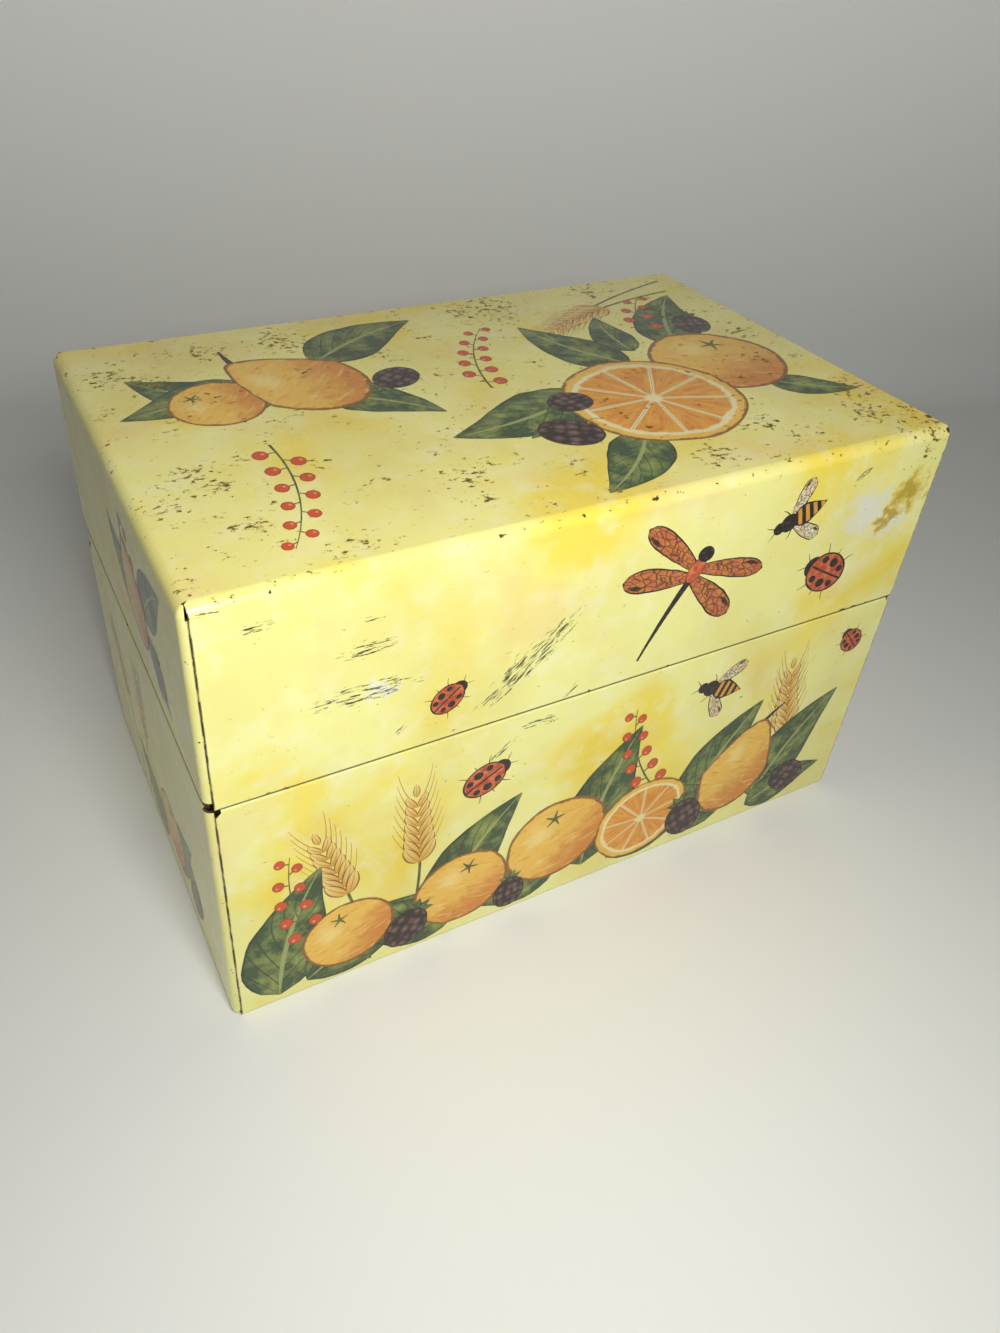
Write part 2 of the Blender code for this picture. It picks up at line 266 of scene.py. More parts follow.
# Wear, in millimetres on the box: clusters of rust specks, scuffs, a stain and worn edges
wear = {
    # place on the top and radius of each cluster of specks, and then those on the walls
    "rustClusters": [((x, y, height), radius) for x, y, radius in (
        (-57, -14, 8.0), (-62, 28, 7.0), (-56, 22, 7.0), (-50, 13, 5.0), (-28, 32, 10.0),
        (-43, 32, 7.0), (-42, -37, 6.0), (-64, -18, 5.0), (-20, -27, 5.5), (15, 34, 13.0),
        (-28, 18, 5.0), (-54, -27, 6.0), (63, -24, 8.0), (59, -32, 9.0), (64, -38, 11.0),
        (21, -36, 6.0), (36, -28, 5.0), (40, -36, 6.0), (55, -5, 5.0), (60, 6, 6.0),
        (42, 36, 9.0),
    )] + [((30, 42, 40), 12.0), ((-45, 43, 12), 12.0), ((68, 22, 70), 10.0)],
    # each kind's turn, how its streaks are stretched, how deep it wears, and its marks: the middle,
    # half length and half width of each, level ones and then slanting ones
    "scuffs": [
        {"turn": 0.0, "stretch": (0.42, 1, 2.6), "worn": 0.53, "marks": [
            ((-58.5, -halfDepth, 83.5), 4.5, 1.7), ((-43, -halfDepth, 75), 7.0, 2.4),
            ((-44, -halfDepth, 67), 15.0, 3.2), ((-42, -halfDepth, 80), 3.5, 1.0),
            ((-12, -halfDepth, 49.5), 7.0, 1.8), ((-65.5, -halfDepth, 87.3), 3.4, 0.5),
            ((55, -halfDepth, 53.2), 12.0, 0.6), ((52, halfDepth, 66), 16.0, 3.0),
        ]},
        {"turn": radians(41), "stretch": (0.36, 1, 2.8), "worn": 0.515, "marks": [
            ((-16, -halfDepth, 63.5), 19.0, 4.2), ((-38, -halfDepth, 57.5), 3.0, 0.8),
            ((-19.5, -halfDepth, 45.5), 7.0, 1.0), ((48, -halfDepth, 83.5), 3.4, 1.2),
            ((-7, -halfDepth, 54.5), 4.0, 1.0), ((halfWidth, 6, 24), 18.0, 2.6),
        ]},
    ],
    "stains": [((61.5, -halfDepth, 77), 6.5), ((57.5, -halfDepth, 72.5), 4.0)],
    "palePatches": [((52, -halfDepth, 75), 6.5), ((59, -halfDepth, 71), 4.5), ((-41, -halfDepth, 67), 3.0)],
    "panelInset": 1.3,        # from the side to the free edge of the front panel
    "bendReach": 1.2,         # how far from a face its bends are worn
    "raggedness": 6,          # mm that the edges of stains and clusters stray
    # relief in mm: the sheet's slight waves, the lacquer's orange peel, and pits where it is gone
    "waveRise": 0.9, "peelRise": 0.006, "pitDepth": 0.03,
    "speckSize": 1.0,
    "speckStretch": (0.72, 1.1, 1.1),
    # place and radius of each lone chip, on the corners that took the knocks
    "chipped": [((67.8, -42.2, 88.2), 2.4), ((-68.2, 41.5, 53.6), 2.6), ((-68.2, 39, 50.5), 1.6)],
    "aged": "#e2cd86", "rust": "#7c5c1c", "rustDark": "#46300f", "rustHalo": "#a58a38",
    "scuffDark": "#23281f", "scuffBlue": "#2f5a5c",
    # the last colour serves the grime in the joints and the painted shade line under the lid's edge
    "stain": "#d6b71c", "stainDeep": "#a88d14", "pale": "#e4e6dc", "grimeAndShade": "#3d3420",
}


# 1 at the middle of the nearest of these places, falling to 0 at its radius
def nearAnyPlace(tree, point, places):
    nearness = []
    for place, radius in places:
        away = addNode(tree, "VectorMath", {0: point, 1: place}, out="Value", operation="DISTANCE")
        nearness.append(addNode(tree, "MapRange", {0: away, 1: radius, 2: 0.0}))
    return greatest(tree, nearness)


# The same for long marks: 1 on the middle line of each, falling to 0 at its ends and sides
def nearAnyMark(tree, point, marks, turn):
    nearness = []
    for place, halfLength, halfWide in marks:
        local = addNode(tree, "VectorMath", {0: point, 1: place}, operation="SUBTRACT")
        local = addNode(tree, "VectorRotate", {"Vector": local, "Angle": turn}, rotation_type="Y_AXIS")
        onSide = abs(place[0]) == halfWidth
        shares = (1 / halfLength, 1 / halfLength if onSide else 1, 1 / halfWide)
        local = addNode(tree, "VectorMath", {0: local, 1: shares}, operation="MULTIPLY")
        away = addNode(tree, "VectorMath", {0: local}, out="Value", operation="LENGTH")
        nearness.append(addNode(tree, "MapRange", {0: away, 1: 1.0, 2: 0.0}))
    return greatest(tree, nearness)


# How far a value lies outside a span, given by its middle and its half; below 0 inside it
def pastSpan(tree, value, middle, half):
    away = addNode(tree, "Math", {0: value, 1: middle}, operation="SUBTRACT")
    away = addNode(tree, "Math", {0: away}, operation="ABSOLUTE")
    return addNode(tree, "Math", {0: away, 1: half}, operation="SUBTRACT")


# Yellowed lacquer: broad, faint and uneven
def addAge(group, colour, point, settings):
    tone = addNode(group, "TexNoise", {"Vector": point, "Scale": 0.045, "Detail": 3.0})
    tone = addNode(group, "MapRange", {0: tone, 1: 0.42, 2: 0.72, 3: 0.0, 4: 0.34})
    return addNode(group, "Mix", {0: tone, 6: colour, 7: linear(settings["aged"])}, out=2,
                   data_type="RGBA", blend_type="MULTIPLY")


# Mustard stain, and pale whitish patches beside it and by a scuff
def addStains(group, colour, ragged, blot, settings):
    pale = nearAnyPlace(group, ragged, settings["palePatches"])
    colour = layOver(group, colour, linear(settings["pale"]), pale, 0.1, 0.6, 0.75)
    stain = nearAnyPlace(group, ragged, settings["stains"])
    stain = addNode(group, "Math", {0: stain, 1: blot}, operation="MULTIPLY")
    colour = layOver(group, colour, linear(settings["stain"]), stain, 0.1, 0.3, 0.72,
                     interpolation_type="SMOOTHSTEP")
    return layOver(group, colour, linear(settings["stainDeep"]), stain, 0.27, 0.36, 0.6)


# Rust specks, dense in the clusters and sparse elsewhere, each with a halo and a dark middle
def addRust(group, colour, point, ragged, blot, drift, settings):
    dashes = addNode(group, "VectorMath", {0: point, 1: settings["speckStretch"]}, operation="MULTIPLY")
    grit = addNode(group, "TexNoise", {"Vector": dashes, "Scale": 1 / settings["speckSize"],
                                       "Detail": 5.0, "Roughness": 0.7})
    rusty = nearAnyPlace(group, ragged, settings["rustClusters"])
    rusty = addNode(group, "MapRange", {0: rusty, 1: 0.0, 2: 0.6})
    gathered = addNode(group, "MapRange", {0: blot, 1: 0.36, 2: 0.54, 3: 0.4, 4: 1.1})
    rusty = addNode(group, "Math", {0: rusty, 1: gathered}, operation="MULTIPLY")
    level = addNode(group, "MapRange", {0: greatest(group, [rusty, drift]), 1: 0.0, 2: 1.0, 3: 0.71, 4: 0.55})
    over = addNode(group, "Math", {0: grit, 1: level}, operation="SUBTRACT")
    colour = layOver(group, colour, linear(settings["rustHalo"]), over, -0.045, 0.01, 0.5)
    rust = layOver(group, linear(settings["rust"]), linear(settings["rustDark"]), over, 0.04, 0.15)
    specks = addNode(group, "MapRange", {0: over, 1: -0.004, 2: 0.026})
    return layOver(group, colour, rust, specks), specks


# Scuffs: hard streaks along the rub, through to the dark tin
def addScuffs(group, colour, point, blot, settings):
    rubs = []
    for kind in settings["scuffs"]:
        streaks = addNode(group, "VectorRotate", {"Vector": point, "Angle": kind["turn"]},
                          rotation_type="Y_AXIS")
        streaks = addNode(group, "VectorMath", {0: streaks, 1: kind["stretch"]}, operation="MULTIPLY")
        streaks = addNode(group, "TexNoise", {"Vector": streaks, "Scale": 1.0, "Detail": 6.0,
                                              "Roughness": 0.7})
        level = nearAnyMark(group, point, kind["marks"], kind["turn"])
        level = addNode(group, "MapRange", {0: level, 1: 0.0, 2: 0.6, 3: 0.74, 4: kind["worn"]})
        rubs.append(addNode(group, "Math", {0: streaks, 1: level}, operation="SUBTRACT"))
    scuffs = addNode(group, "MapRange", {0: greatest(group, rubs), 1: -0.004, 2: 0.04, 3: 0.0, 4: 0.95})
    metal = layOver(group, linear(settings["scuffDark"]), linear(settings["scuffBlue"]), blot, 0.5, 0.62)
    return layOver(group, colour, metal, scuffs), scuffs


# Grime and painted shade in the joints: a painted shade line with grime in the gap under the lid's edge, and
# grime broken along the free edges of the panels
def addGrimeAndShade(group, colour, point, axes, settings):
    # painted shade: a dark line in the gap under the lid's edge, where shade falls, with grime in it
    under = pastSpan(group, axes["Z"], (rimTop + lidEdge) / 2, 0.0)
    under = addNode(group, "MapRange", {0: under, 1: 0.34, 2: 0.24, 3: 0.0, 4: 0.85})
    lap = pastSpan(group, axes["X"], 0.0, halfWidth - settings["panelInset"])
    lap = addNode(group, "Math", {0: lap}, operation="ABSOLUTE")
    lap = addNode(group, "MapRange", {0: lap, 1: 0.2, 2: 0.08})
    face = pastSpan(group, axes["Y"], 0.0, halfDepth)
    face = addNode(group, "MapRange", {0: face, 1: -1.1, 2: -0.9})
    lap = addNode(group, "Math", {0: lap, 1: face}, operation="MULTIPLY")
    broken = addNode(group, "TexNoise", {"Vector": point, "Scale": 0.3, "Detail": 4.0, "Roughness": 0.7})
    broken = addNode(group, "MapRange", {0: broken, 1: 0.42, 2: 0.53, 3: 0.35, 4: 0.95})
    lap = addNode(group, "Math", {0: lap, 1: broken}, operation="MULTIPLY")
    return layOver(group, colour, linear(settings["grimeAndShade"]), greatest(group, [under, lap]))


# Chips along the bends, where the point is far into two faces, at the lid's edge and at knocks
def addChips(group, colour, point, axes, settings):
    reach = settings["bendReach"]
    sides = pastSpan(group, axes["X"], 0.0, halfWidth - reach)
    ends = pastSpan(group, axes["Y"], 0.0, halfDepth - reach)
    roof = pastSpan(group, axes["Z"], height / 2, height / 2 - reach)
    bends = [addNode(group, "Math", {0: one, 1: other}, operation="MINIMUM")
             for one, other in ((sides, ends), (sides, roof), (ends, roof))]
    edge = addNode(group, "MapRange", {0: greatest(group, bends), 1: -0.4, 2: 0.7, 3: 0.0, 4: 0.13})
    rim = pastSpan(group, axes["Z"], lidEdge, 0.0)
    rim = addNode(group, "MapRange", {0: rim, 1: 0.9, 2: 0.2, 3: 0.0, 4: 0.13})
    knock = nearAnyPlace(group, point, settings["chipped"])
    edge = greatest(group, [edge, rim])
    edge = addNode(group, "Math", {0: knock, 1: 0.4, 2: edge}, operation="MULTIPLY_ADD")
    nick = addNode(group, "TexNoise", {"Vector": point, "Scale": 0.42, "Detail": 6.0, "Roughness": 0.66})
    nick = addNode(group, "Math", {0: nick, 1: edge}, operation="ADD")
    chips = addNode(group, "MapRange", {0: nick, 1: 0.725, 2: 0.745})
    return layOver(group, colour, linear(settings["rustDark"]), chips), chips


# Clear lacquer over the print, with the wear that goes through both, and a painted shade line
# under the lid's edge. Every printed surface passes its clean colour through this group, so that
# wear runs on from the ground over the inks.
def buildWornLacquer(settings):
    group = bpy.data.node_groups.new("wornLacquer", "ShaderNodeTree")
    for name, way, kind in (("Print", "INPUT", "Color"), ("Colour", "OUTPUT", "Color"),
                            ("Roughness", "OUTPUT", "Float"), ("Normal", "OUTPUT", "Vector")):
        group.interface.new_socket(name, in_out=way, socket_type="NodeSocket" + kind)
    point = pointInMm(group)
    axes = addNode(group, "SeparateXYZ", {0: point}).node.outputs
    stray = addNode(group, "TexNoise", {"Vector": point, "Scale": 0.35, "Detail": 5.0, "Roughness": 0.6},
                    out="Color")
    reach = settings["raggedness"]
    stray = addNode(group, "VectorMath", {0: stray, 1: (2 * reach,) * 3, 2: (-reach,) * 3},
                    operation="MULTIPLY_ADD")
    ragged = addNode(group, "VectorMath", {0: point, 1: stray}, operation="ADD")
    blot = addNode(group, "TexNoise", {"Vector": point, "Scale": 0.32, "Detail": 6.0, "Roughness": 0.65})
    drift = addNode(group, "TexNoise", {"Vector": point, "Scale": 0.19, "Detail": 4.0, "Roughness": 0.62})
    drift = addNode(group, "MapRange", {0: drift, 1: 0.45, 2: 0.65, 3: 0.0, 4: 0.86})
    onTop = addNode(group, "MapRange", {0: axes["Z"], 1: height - 2.2, 2: height - 0.2, 3: 0.3, 4: 1.0})
    drift = addNode(group, "Math", {0: drift, 1: onTop}, operation="MULTIPLY")

    colour = group.nodes.new("NodeGroupInput").outputs["Print"]
    colour = addAge(group, colour, point, settings)
    colour = addStains(group, colour, ragged, blot, settings)
    colour, specks = addRust(group, colour, point, ragged, blot, drift, settings)
    colour, scuffs = addScuffs(group, colour, point, blot, settings)
    # grime, and a painted shade line under the lid's edge
    colour = addGrimeAndShade(group, colour, point, axes, settings)
    colour, chips = addChips(group, colour, point, axes, settings)

    # Sheen: smooth lacquer, dull where it is gone
    gone = greatest(group, [specks, scuffs, chips])
    rough = addNode(group, "MapRange", {0: drift, 1: 0.0, 2: 0.5, 3: 0.2, 4: 0.32})
    rough = addNode(group, "Mix", {0: gone, 2: rough, 3: 0.7})

    # Relief of the sheet and the lacquer
    waves = addNode(group, "TexNoise", {"Vector": point, "Scale": 0.026, "Detail": 1.0})
    relief = addNode(group, "Math", {0: waves, 1: settings["waveRise"]}, operation="MULTIPLY")
    peel = addNode(group, "TexNoise", {"Vector": point, "Scale": 0.8, "Detail": 2.0})
    for part, rise in ((peel, settings["peelRise"]), (gone, -settings["pitDepth"])):
        relief = addNode(group, "Math", {0: part, 1: rise, 2: relief}, operation="MULTIPLY_ADD")
    normal = addNode(group, "Bump", {"Height": relief, "Distance": mm, "Strength": 0.8})

    finished = group.nodes.new("NodeGroupOutput")
    for name, value in (("Colour", colour), ("Roughness", rough), ("Normal", normal)):
        group.links.new(value, finished.inputs[name])
    return group


wornLacquer = buildWornLacquer(wear)
print("wear made")


# A printed and lacquered surface: diffuse ink under a glossy clear film
def printedMaterial(name, paint):
    material = bpy.data.materials.new(name)
    material.use_nodes = True
    tree = material.node_tree
    worn = tree.nodes.new("ShaderNodeGroup")
    worn.node_tree = wornLacquer
    tree.links.new(paint(tree), worn.inputs["Print"])
    shader = tree.nodes["Principled BSDF"]
    shader.inputs["IOR"].default_value = 1.5
    for name, socket in (("Colour", "Base Color"), ("Roughness", "Roughness"), ("Normal", "Normal")):
        tree.links.new(worn.outputs[name], shader.inputs[socket])
    return material


ground = {
    "cream": "#f1ee98", "lemon": "#f3df58", "pale": "#f5f4c4", "peach": "#eed690",
    "topLightTint": "#fffaf2",     # painted tint: the top warmer and a little darker, for the light and reflection it catches
    "cloudSize": 26,          # mm
    "spongeSize": 5,
    # places and radii where the lemon was laid on thickest
    "lemonPlaces": [((-8, -halfDepth, 84), 24), ((38, -halfDepth, 86), 16), ((-62, -halfDepth, 56), 16),
                    ((62, -halfDepth, 62), 12), ((-57, 12, height), 15), ((62, -24, height), 20),
                    ((-2, -40, height), 18), ((-60, -halfDepth, 30), 18), ((10, -halfDepth, 30), 26),
                    ((0, halfDepth, 70), 30), ((halfWidth, 0, 40), 26), ((-halfWidth, 10, 70), 24)],
}


# Yellow ground, dabbed on unevenly: cream with clouds of lemon, pale dabs and a little peach
def paintGround(tree):
    point = pointInMm(tree)
    clouds = addNode(tree, "TexNoise", {"Vector": point, "Scale": 1 / ground["cloudSize"],
                                        "Detail": 4.0, "Roughness": 0.55, "Distortion": 0.4})
    thick = nearAnyPlace(tree, point, ground["lemonPlaces"])
    clouds = addNode(tree, "Math", {0: thick, 1: 0.28, 2: clouds}, operation="MULTIPLY_ADD")
    colour = layOver(tree, linear(ground["cream"]), linear(ground["lemon"]), clouds, 0.5, 0.76,
                     interpolation_type="SMOOTHSTEP")
    dabs = addNode(tree, "TexNoise", {"Vector": point, "Scale": 1 / ground["spongeSize"],
                                      "Detail": 5.0, "Roughness": 0.6})
    colour = layOver(tree, colour, linear(ground["pale"]), dabs, 0.5, 0.7, 0.5)
    shifted = addNode(tree, "VectorMath", {0: point, 1: (40, 70, 20)}, operation="ADD")
    blush = addNode(tree, "TexNoise", {"Vector": shifted, "Scale": 0.07, "Detail": 4.0})
    colour = layOver(tree, colour, linear(ground["peach"]), blush, 0.54, 0.72, 0.5)
    axes = addNode(tree, "SeparateXYZ", {0: point}).node.outputs
    # painted tint on the top, for the light and reflection it catches unlike the walls
    onTop = addNode(tree, "MapRange", {0: axes["Z"], 1: height - 3, 2: height - 0.3})
    return addNode(tree, "Mix", {0: onTop, 6: colour, 7: linear(ground["topLightTint"])}, out=2,
                   data_type="RGBA", blend_type="MULTIPLY")


# Inks. Each reads the stroke's own map: u along it and v across it, or a disc's x and y.
inkColours = {
    "outline": "#3a2a1a",
    "leafDark": "#3b5232", "leafLight": "#8f9c50", "leafVein": "#273820", "leafRib": "#a9b06c",
    "fruit": "#efc052", "fruitShade": "#d2802c", "fruitLight": "#f8e08c", "fruitLine": "#84501f",
    "pith": "#f4e6ae", "pulp": "#ecab3c", "pulpShade": "#d9822c",
    "berry": "#cf5327", "berryLine": "#8c2f18", "berryLight": "#f0a070",
    "bramble": "#2a1b1b", "brambleLight": "#8b6a66",
    "wheat": "#dfae4a", "wheatLine": "#8a5a26", "wheatLight": "#f2d583",
    "stem": "#6b7438", "stemShade": "#4a5529",
    "black": "#231a16", "blackLight": "#4d4038",
    "shell": "#b5482a", "shellLight": "#dd7d49",
    "wing": "#c26a44", "wingPale": "#ece3bd", "wingLine": "#2c1e18", "amber": "#d99a33",
}
ink = {name: linear(value) for name, value in inkColours.items()}


# A stroke's map, the share of its length, and its distance from the edge, 0.5 on the middle line
def strokeMap(tree):
    brush = addNode(tree, "UVMap", uv_map="brush")
    axes = addNode(tree, "SeparateXYZ", {0: brush}).node.outputs
    inward = addNode(tree, "Math", {0: axes["Y"], 1: 0.5}, operation="PINGPONG")
    return brush, axes["X"], inward


# A disc's map, and the distance from its middle, up to 0.5, with a hand-drawn waver
def discMap(tree):
    brush = addNode(tree, "UVMap", uv_map="brush")
    away = addNode(tree, "VectorMath", {0: brush, 1: (0.5, 0.5, 0)}, out="Value", operation="DISTANCE")
    wobble = addNode(tree, "TexNoise", {"Vector": pointInMm(tree), "Scale": 0.5, "Detail": 3.0})
    return brush, addNode(tree, "Math", {0: wobble, 1: 0.05, 2: away}, operation="MULTIPLY_ADD")


def paintLeaf(tree):
    _, along, rib = strokeMap(tree)
    wash = addNode(tree, "TexNoise", {"Vector": pointInMm(tree), "Scale": 0.24, "Detail": 5.0,
                                      "Roughness": 0.62})
    colour = layOver(tree, ink["leafDark"], ink["leafLight"], wash, 0.42, 0.66)
    phase = addNode(tree, "Math", {0: along, 1: 7.0}, operation="MULTIPLY")
    phase = addNode(tree, "Math", {0: rib, 1: 5.0, 2: phase}, operation="MULTIPLY_ADD")
    phase = addNode(tree, "Math", {0: phase, 1: 0.5}, operation="PINGPONG")
    colour = layOver(tree, colour, ink["leafVein"], phase, 0.085, 0.03, 0.75)
    colour = layOver(tree, colour, ink["leafRib"], rib, 0.462, 0.478, 0.8)
    ragged = addNode(tree, "Math", {0: wash, 1: 0.09, 2: rib}, operation="MULTIPLY_ADD")
    colour = layOver(tree, colour, ink["leafDark"], ragged, 0.2, 0.1, 0.6)
    return layOver(tree, colour, ink["leafVein"], ragged, 0.085, 0.065, 0.9)


def paintFruit(tree):
    brush, away = discMap(tree)
    axes = addNode(tree, "SeparateXYZ", {0: brush}).node.outputs
    wash = addNode(tree, "TexNoise", {"Vector": pointInMm(tree), "Scale": 0.4, "Detail": 5.0,
                                      "Roughness": 0.65})
    shade = addNode(tree, "Math", {0: axes["X"], 1: axes["Y"]}, operation="SUBTRACT")
    shade = addNode(tree, "Math", {0: wash, 1: 0.9, 2: shade}, operation="MULTIPLY_ADD")
    colour = layOver(tree, ink["fruit"], ink["fruitShade"], shade, 0.35, 1.0, 0.9,
                     interpolation_type="SMOOTHSTEP")
    glint = addNode(tree, "VectorMath", {0: brush, 1: (0.34, 0.66, 0)}, out="Value", operation="DISTANCE")
    glint = addNode(tree, "Math", {0: wash, 1: 0.16, 2: glint}, operation="MULTIPLY_ADD")
    colour = layOver(tree, colour, ink["fruitLight"], glint, 0.26, 0.12, 0.7)
    hairs = addNode(tree, "VectorMath", {0: brush, 1: (5, 26, 1)}, operation="MULTIPLY")
    hairs = addNode(tree, "TexNoise", {"Vector": hairs, "Scale": 1.0, "Detail": 4.0,
                                       "Roughness": 0.6, "Distortion": 0.8})
    colour = layOver(tree, colour, ink["fruitShade"], hairs, 0.56, 0.68, 0.7)
    colour = layOver(tree, colour, ink["fruitLight"], hairs, 0.44, 0.34, 0.45)
    return layOver(tree, colour, ink["fruitLine"], away, 0.488, 0.502, 0.9)


def paintSlice(tree):
    brush, away = discMap(tree)
    fromMiddle = addNode(tree, "VectorMath", {0: brush, 1: (0.5, 0.5, 0)}, operation="SUBTRACT")
    parts = addNode(tree, "SeparateXYZ", {0: fromMiddle}).node.outputs
    angle = addNode(tree, "Math", {0: parts["Y"], 1: parts["X"]}, operation="ARCTAN2")
    turns = addNode(tree, "Math", {0: angle, 1: 9 / (2 * pi)}, operation="MULTIPLY")
    turns = addNode(tree, "Math", {0: turns, 1: 0.5}, operation="PINGPONG")
    fine = addNode(tree, "Math", {0: angle, 1: 9.0}, operation="MULTIPLY")
    coarse = addNode(tree, "Math", {0: away, 1: 6.0}, operation="MULTIPLY")
    polar = addNode(tree, "CombineXYZ", {0: fine, 1: coarse})
    streaks = addNode(tree, "TexNoise", {"Vector": polar, "Scale": 1.0, "Detail": 4.0, "Roughness": 0.6})
    colour = layOver(tree, ink["pulp"], ink["pulpShade"], streaks, 0.4, 0.66)
    reach = addNode(tree, "Math", {0: turns, 1: away}, operation="MULTIPLY")
    colour = layOver(tree, colour, ink["pith"], reach, 0.022, 0.012)
    colour = layOver(tree, colour, ink["fruitLine"], reach, 0.004, 0.001, 0.8)
    colour = layOver(tree, colour, ink["pith"], away, 0.085, 0.06)
    colour = layOver(tree, colour, ink["pith"], away, 0.425, 0.437)
    colour = layOver(tree, colour, ink["fruit"], away, 0.458, 0.47)
    return layOver(tree, colour, ink["fruitLine"], away, 0.503, 0.512, 0.9)


def paintBerry(tree):
    brush, away = discMap(tree)
    colour = spotOver(tree, ink["berry"], ink["berryLight"], brush, (0.36, 0.66), 0.14, 0.08, 0.8)
    return layOver(tree, colour, ink["berryLine"], away, 0.44, 0.5, 0.85)


def paintBramble(tree):
    brush, away = discMap(tree)
    drupes = addNode(tree, "TexVoronoi", {"Vector": brush, "Scale": 4.6, "Randomness": 0.45}, out="Distance")
    colour = layOver(tree, ink["bramble"], ink["brambleLight"], drupes, 0.55, 0.15, 0.8)
    return layOver(tree, colour, ink["outline"], away, 0.47, 0.5)


def paintWheat(tree):
    _, along, middle = strokeMap(tree)
    colour = layOver(tree, ink["wheat"], ink["wheatLight"], along, 0.15, 0.8)
    colour = layOver(tree, colour, ink["wheatLine"], middle, 0.44, 0.475, 0.6)
    return layOver(tree, colour, ink["wheatLine"], middle, 0.15, 0.1, 0.95)


def paintStem(tree):
    return washOver(tree, ink["stemShade"], ink["stem"], 0.6, 3.0, 0.4, 0.6)


def paintBlack(tree):
    return washOver(tree, ink["black"], ink["blackLight"], 1.4, 4.0, 0.5, 0.72)


def paintShell(tree):
    _, away = discMap(tree)
    colour = washOver(tree, ink["shell"], ink["shellLight"], 0.7, 4.0, 0.42, 0.66)
    return layOver(tree, colour, ink["black"], away, 0.475, 0.495)


# Wing ink: a net of veins round long cells, a smudge near the tip and a firm outline
def paintWing(membrane):
    def paint(tree):
        brush, along, rib = strokeMap(tree)
        colour = washOver(tree, ink[membrane], ink["amber"], 0.8, 4.0, 0.4, 0.7, 0.6)
        cells = addNode(tree, "VectorMath", {0: brush, 1: (8, 4.5, 1)}, operation="MULTIPLY")
        cells = addNode(tree, "TexVoronoi", {"Vector": cells, "Scale": 1.0, "Randomness": 0.85},
                        out="Distance", feature="DISTANCE_TO_EDGE")
        colour = layOver(tree, colour, ink["wingLine"], cells, 0.09, 0.03, 0.75)
        colour = layOver(tree, colour, ink["wingLine"], rib, 0.085, 0.055)
        colour = layOver(tree, colour, ink["wingLine"], along, 0.965, 0.98)
        return spotOver(tree, colour, ink["wingLine"], brush, (0.8, 0.78), 0.13, 0.07, 0.9)
    return paint


def paintStripes(tree):
    _, along, rib = strokeMap(tree)
    bands = addNode(tree, "Math", {0: along, 1: 0.11}, operation="PINGPONG")
    colour = layOver(tree, ink["amber"], ink["black"], bands, 0.05, 0.06)
    return layOver(tree, colour, ink["black"], rib, 0.1, 0.07)


def paintOutline(tree):
    return washOver(tree, ink["wheatLine"], ink["wheat"], 0.9, 3.0)


paints = {
    "leafInk": paintLeaf, "fruitInk": paintFruit, "sliceInk": paintSlice, "berryInk": paintBerry,
    "brambleInk": paintBramble, "wheatInk": paintWheat, "stemInk": paintStem, "blackInk": paintBlack,
    "shellInk": paintShell, "wingInk": paintWing("wing"), "paleWingInk": paintWing("wingPale"),
    "stripeInk": paintStripes, "outlineInk": paintOutline,
}
inks = {name: printedMaterial(name, paint) for name, paint in paints.items()}
inkNames = list(inks)
yellowPrint = printedMaterial("yellowLithoTinplate", paintGround)
print("inks mixed")


tinplate = {
    # the second colour, the collar's darker tin, is grime and painted shade, so that the narrow gaps where
    # the collar shows look dark
    "tin": "#c9c4b6", "shadedGrimy": "#6f6652", "cutEdge": "#5d5346", "wire": "#8f8a80",
    "tarnish": "#9c8a63", "rust": "#5b3a1c",
    "rollingLines": 0.35,     # mm apart
}


# Bare tinplate: bright satin metal with fine rolling lines, golden tarnish and a few rust specks
def tinMaterial(name, settings, metal, roughness, rusting):
    material = bpy.data.materials.new(name)
    material.use_nodes = True
    tree = material.node_tree
    point = pointInMm(tree)
    clouds = addNode(tree, "TexNoise", {"Vector": point, "Scale": 0.07, "Detail": 5.0, "Roughness": 0.6})
    colour = layOver(tree, linear(metal), linear(settings["tarnish"]), clouds, 0.45, 0.72, 0.7)
    grit = addNode(tree, "TexNoise", {"Vector": point, "Scale": 0.8, "Detail": 5.0, "Roughness": 0.65})
    level = addNode(tree, "Math", {0: clouds, 1: 0.35, 2: grit}, operation="MULTIPLY_ADD")
    specks = addNode(tree, "MapRange", {0: level, 1: rusting, 2: rusting + 0.04})
    colour = layOver(tree, colour, linear(settings["rust"]), specks)
    close = 1 / settings["rollingLines"]
    lines = addNode(tree, "VectorMath", {0: point, 1: (0.02, close, close)}, operation="MULTIPLY")
    lines = addNode(tree, "TexNoise", {"Vector": lines, "Scale": 1.0, "Detail": 3.0})
    rough = addNode(tree, "MapRange", {0: lines, 1: 0.3, 2: 0.7, 3: roughness - 0.07, 4: roughness + 0.1})
    rough = addNode(tree, "Mix", {0: specks, 2: rough, 3: 0.85})
    bright = addNode(tree, "MapRange", {0: specks, 1: 0.0, 2: 1.0, 3: 1.0, 4: 0.0})
    waves = addNode(tree, "TexNoise", {"Vector": point, "Scale": 0.03, "Detail": 1.0})
    relief = addNode(tree, "Math", {0: lines, 1: 0.004, 2: waves}, operation="MULTIPLY_ADD")
    normal = addNode(tree, "Bump", {"Height": relief, "Distance": mm, "Strength": 0.7})
    shader = tree.nodes["Principled BSDF"]
    for name, value in (("Base Color", colour), ("Roughness", rough),
                        ("Metallic", bright), ("Normal", normal)):
        tree.links.new(value, shader.inputs[name])
    return material


bareTin = tinMaterial("bareTinplate", tinplate, tinplate["tin"], 0.34, 0.84)
